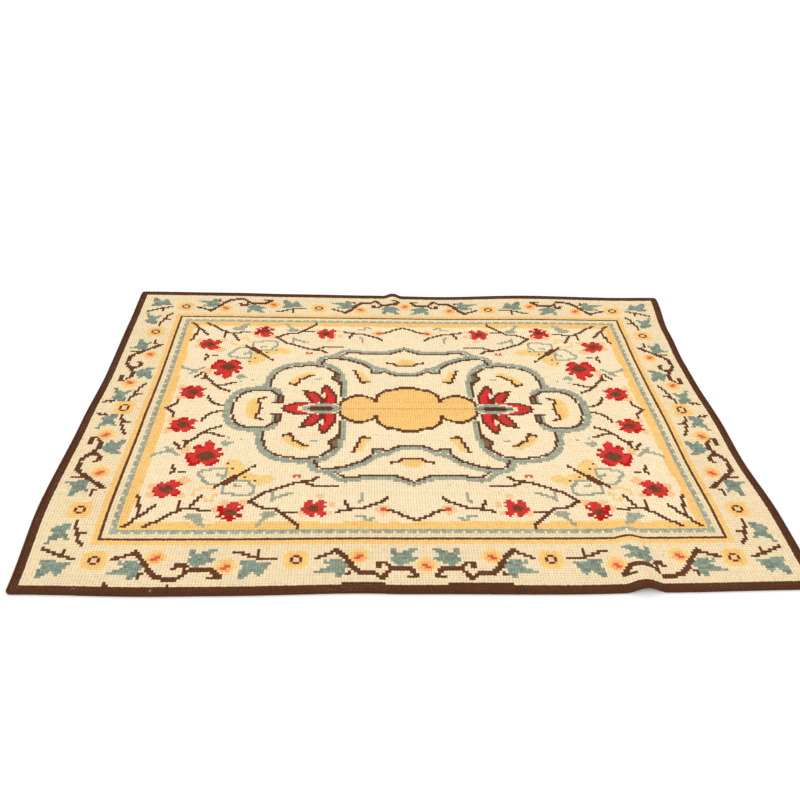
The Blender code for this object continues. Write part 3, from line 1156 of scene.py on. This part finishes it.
def flat_canvas_map(mesh, spots):
    """Lay the underside, the upper side and the four thin walls flat, none over another."""
    corner_points = np.zeros(len(mesh.loops), int)
    mesh.loops.foreach_get("vertex_index", corner_points)
    number = np.repeat(np.arange(len(mesh.polygons)), sides_of(mesh)) - chart.size
    column, row, height = spots[corner_points].T
    column, row = column / STITCHES_LONG, row / STITCHES_WIDE
    under = number < 0
    upper = ~under & (number < UPPER_FACES)
    long_wall = ~under & ~upper & (number < UPPER_FACES + LONG_WALL_FACES)
    second = (number - UPPER_FACES) % 2 == 1
    strip = np.where(long_wall, *MAP_WALLS) + MAP_NEXT_WALL * second
    u = np.where(under | upper | long_wall, column, row)
    v = np.where(upper, MAP_UPPER[0] + MAP_UPPER[1] * row, strip + MAP_WALL_WIDE * height / CANVAS_TOP)
    v = np.where(under, MAP_UNDERSIDE * row, v)
    flat = mesh.uv_layers.new(name="OFBake")
    flat.data.foreach_set("uv", np.stack((u, v), axis=-1).astype(np.float32).ravel())


canvas_sheet = bpy.data.meshes.new("rug_canvas")
canvas_sheet.from_pydata(canvas_points, [], canvas_faces)
canvas_colours_and_painted_shade(canvas_sheet)
flat_canvas_map(canvas_sheet, canvas_spots)
canvas_sheet.materials.append(canvas_material())
canvas = bpy.data.objects.new("rug_canvas", canvas_sheet)
bpy.context.scene.collection.objects.link(canvas)
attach(canvas, "root")
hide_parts("hooked_rug")
print("canvas faces", len(canvas_sheet.polygons))

# %% [markdown]
# ## The edge
# At the rim the canvas is folded under, and the dark wool is stitched over the fold, so from the
# side one sees upright strands of yarn, two at each hole. A curve with a bevel would make one,
# but there are eighteen hundred, so they are arrays too. Each is a short tube from the pile over
# the side to the underside, whose route is a few places outwards and up.

# %% Strands over the edge
# Columns: distance outwards from the rug's straight edge, height, both in metres.
STRAND_ROUTE = np.array((
    (-0.0066, 0.0066), (-0.0042, 0.0084), (-0.0014, 0.0082), (0.0006, 0.0062), (0.0010, 0.0038),
    (0.0002, 0.0016), (-0.0022, 0.0013),
))
STRAND_TAPER = np.array((0.5, 0.9, 1, 1, 1, 0.9, 0.5))  # share of its full size at each place
STRANDS_PER_HOLE = 2
STRAND_HALF_WIDE = 0.0024
STRAND_HALF_THICK = 0.0011
AROUND = 4  # points round each place of the route
SHIFT_SPREAD = 0.0003  # how much strands differ, each as one standard deviation
FATNESS_SPREAD = 0.06
STRAND_SHADE_SPREAD = 0.2
# Where a strand lies in its cell of the map: the unrolled tube, then a square for each end.
TUBE_CORNER = 0.02
TUBE_SIZE = (0.84, 0.96)
END_CORNERS = ((0.88, 0.1), (0.88, 0.5))
END_SIZE = 0.05


def strand_points(shift, fatness):
    """Four points round each place of the route, in strand axes: aside, outwards, up."""
    run = np.gradient(STRAND_ROUTE, axis=0)
    run /= np.linalg.norm(run, axis=1)[:, None]
    out_of = np.stack((-run[:, 1], run[:, 0]), axis=1)
    taper = STRAND_TAPER[:, None] * fatness
    middle = np.concatenate((np.full_like(taper, shift), STRAND_ROUTE), axis=1)
    aside = np.concatenate((STRAND_HALF_WIDE * taper, np.zeros_like(STRAND_ROUTE)), axis=1)
    thick = STRAND_HALF_THICK * out_of * np.sqrt(taper)
    thick = np.concatenate((np.zeros_like(taper), thick), axis=1)
    return np.stack((middle + aside, middle + thick, middle - aside, middle - thick), axis=1)


def edge_places():
    """Every strand along the rim: its place and the direction outwards."""
    places = []
    for k in range(STRANDS_PER_HOLE * STITCHES_LONG):
        along_x = (k + 0.5) / STRANDS_PER_HOLE * STITCH - HALF_LONG
        places += [(along_x, -HALF_WIDE, 0, -1), (along_x, HALF_WIDE, 0, 1)]
    for k in range(STRANDS_PER_HOLE * STITCHES_WIDE):
        along_y = (k + 0.5) / STRANDS_PER_HOLE * STITCH - HALF_WIDE
        places += [(-HALF_LONG, along_y, -1, 0), (HALF_LONG, along_y, 1, 0)]
    return places


def one_strand(x, y, out_x, out_y):
    """The points of one strand, laid over the uneven rim."""
    local = strand_points(draw.normal(0, SHIFT_SPREAD), 1 + draw.normal(0, FATNESS_SPREAD))
    aside, outwards, up = local[..., 0], local[..., 1], local[..., 2]
    rim_x = x + out_x * np.minimum(outwards, 0) + abs(out_y) * aside
    rim_y = y + out_y * np.minimum(outwards, 0) + abs(out_x) * aside
    step = np.array([0, STITCH / 8])
    rim, beside = laid(x + out_x * step, y + out_y * step, np.zeros(2))
    away = (beside - rim) / np.linalg.norm(beside - rim)
    proud = np.maximum(outwards, 0)[..., None] * away
    return (laid(rim_x, rim_y, up) + proud).reshape(-1, 3)


def edge_strands():
    """All strands over the rim as one mesh, each unrolled in its own cell of the map."""
    rings = len(STRAND_ROUTE)
    size = rings * AROUND
    walls = [(ring * AROUND, k, (k + 1) % AROUND) for ring in range(rings - 1) for k in range(AROUND)]
    one = [(low + k, low + after, low + AROUND + after, low + AROUND + k) for low, k, after in walls]
    one += [(3, 2, 1, 0), tuple(range(size - AROUND, size))]
    unrolled = [(TUBE_CORNER + TUBE_SIZE[0] * (ring + far) / (rings - 1),
                 TUBE_CORNER + TUBE_SIZE[1] * (k + over) / AROUND)
                for ring in range(rings - 1) for k in range(AROUND)
                for far, over in ((0, 0), (0, 1), (1, 1), (1, 0))]
    unrolled += [(left + END_SIZE * over, low + END_SIZE * up) for left, low in END_CORNERS
                 for over, up in ((0, 0), (1, 0), (1, 1), (0, 1))]
    turned = np.array(unrolled).reshape(-1, 4, 2)[:, ::-1].reshape(-1, 2)
    run_map = np.meshgrid(np.linspace(0, 2, rings), [0, 0.5, 1, 0.5], indexing="ij")
    run_map = np.stack(run_map, axis=-1).reshape(-1, 2)
    places = edge_places()
    wide = math.ceil(math.sqrt(len(places)))
    points, faces, cells, maps, shades = [], [], [], [], []
    for number, (x, y, out_x, out_y) in enumerate(places):
        flipped = out_x > out_y
        start = number * size
        faces += [tuple(start + c for c in (face[::-1] if flipped else face)) for face in one]
        points.append(one_strand(x, y, out_x, out_y))
        cell = turned if flipped else unrolled
        cells.append((cell + np.array((number % wide, number // wide))) / wide)
        maps.append(run_map + draw.random())
        shade = np.clip(0.5 + draw.normal(0, STRAND_SHADE_SPREAD), 0, 1)
        shades.append(np.full(size, shade))
    return np.concatenate(points), faces, *[np.concatenate(part) for part in (cells, maps, shades)]


strand_parts = edge_strands()
strands = show("edge_strands", mesh_of("edge_strands", *strand_parts), "edge_brown")
print("edge strands", len(edge_places()))

# %% [markdown]
# ## One sheet of cloth
# Someone who lays or rolls the rug needs its cut size, straight and flat. The canvas could be
# measured where it lies, but its bowed sides would count too. The straight size that the stitch
# count gives is printed with the sizes, and the canvas and the wool ride on one body.

# %% [markdown]
# ## Floor, light and camera
# The rug lies on a plain white floor in soft, even studio light, and the camera looks down at
# it from the front, a little turned, with a normal lens. Area lamps would fall off along two
# metres of rug, so the light is a bright sky and two wide, weak suns.

# %% The studio
start_clean()
bpy.ops.mesh.primitive_plane_add(size=40, location=(0, 0, 0))
floor = bpy.context.object
floor.name = "floor"
floor_paint = new_material("floor_paint", {"Base Color": (0.86, 0.86, 0.86, 1), "Roughness": 0.9})[0]
floor.data.materials.append(floor_paint)

world = bpy.data.worlds.new("studio")
bpy.context.scene.world = world
world.use_nodes = True
sky = world.node_tree.nodes["Background"]
sky.inputs["Color"].default_value = (1.0, 1.0, 1.0, 1)
sky.inputs["Strength"].default_value = 0.78
LIGHTS = (
    # name, tilt, turn and spread in degrees, strength
    ("light_left", 40, -50, 45, 1.15),
    ("light_back", 25, 150, 60, 0.74),
)


def soft_light(name, tilt, turn, spread, strength):
    """Even light from one side of the ceiling, as wide as a softbox."""
    lamp = bpy.data.lights.new(name, "SUN")
    lamp.angle = math.radians(spread)
    lamp.energy = strength
    light = bpy.data.objects.new(name, lamp)
    light.rotation_euler = (math.radians(tilt), 0, math.radians(turn))
    light.location = (0, 0, 3)
    bpy.context.scene.collection.objects.link(light)


for light_row in LIGHTS:
    soft_light(*light_row)

CAMERA_PLACE = (-0.1500, -2.1883, 1.5445)  # metres from the middle stitch
CAMERA_TURN = (55.527, -1.708, -2.020)  # degrees
LENS = 37.94  # millimetres, on a sensor 36 mm wide
camera_data = bpy.data.cameras.new("camera")
camera_data.lens = LENS
camera_data.sensor_width = 36
camera = bpy.data.objects.new("camera", camera_data)
camera.location = (CAMERA_PLACE[0] - OFF_X, CAMERA_PLACE[1] - OFF_Y, CAMERA_PLACE[2])
camera.rotation_euler = [math.radians(turn) for turn in CAMERA_TURN]
bpy.context.scene.collection.objects.link(camera)
bpy.context.scene.camera = camera
bpy.context.scene.view_settings.view_transform = "Standard"
print("camera at", [round(value, 3) for value in camera.location])
